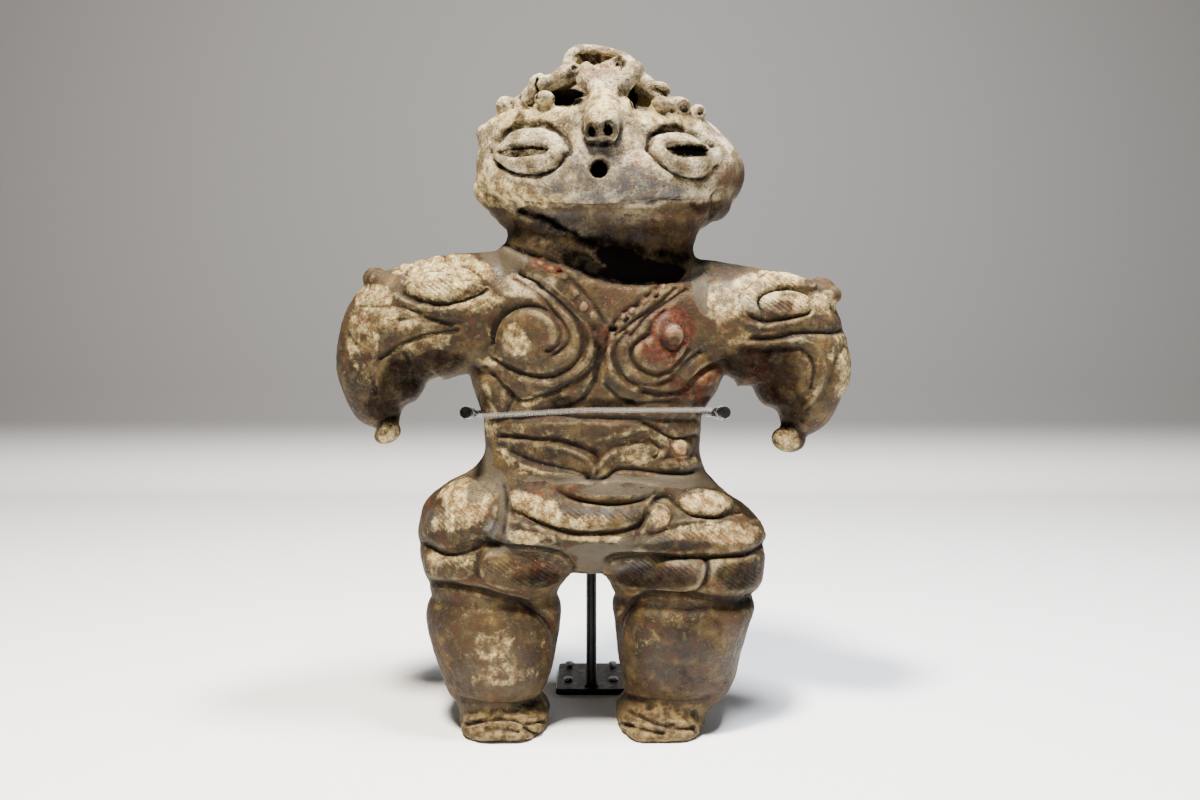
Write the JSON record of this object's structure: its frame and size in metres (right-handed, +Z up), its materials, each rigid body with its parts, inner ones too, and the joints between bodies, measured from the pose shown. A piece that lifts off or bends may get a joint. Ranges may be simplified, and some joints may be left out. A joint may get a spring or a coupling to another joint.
{
  "type": "fired clay dogu figurine on its display stand",
  "caption": "Hollow prehistoric clay figurine with goggle eyes, open crown and horn-shaped arms, standing on its feet in a small rod stand with a clear tube across the waist.",
  "frame": {"origin": "on the ground, under the middle of the box that holds the figure and its stand", "axes": "+Z up along the figure's height, the figure faces -Y, +X to the right as seen from its front"},
  "size_m": [0.271, 0.14, 0.3573],
  "materials": {
    "fired_clay": "matt, worn, low-fired clay with traces of red pigment",
    "stand_paint": "satin brown-black paint",
    "fork_steel": "satin dark paint",
    "black_sleeve": "soft satin black",
    "clear_tube": "clear soft plastic tube",
    "nylon_line": "clear nylon line",
    "screw_steel": "plain steel screw heads"
  },
  "bodies": {
    "root": {"figure": "fired_clay", "stand_plate": "stand_paint", "stand_rod": "stand_paint", "stand_fork": "fork_steel", "left_sleeve": "black_sleeve", "right_sleeve": "black_sleeve", "clear_tube": "clear_tube", "nylon_line": "nylon_line", "plate_screw_1": "screw_steel", "plate_screw_2": "screw_steel", "plate_screw_3": "screw_steel", "plate_screw_4": "screw_steel"}
  },
  "joints": []
}
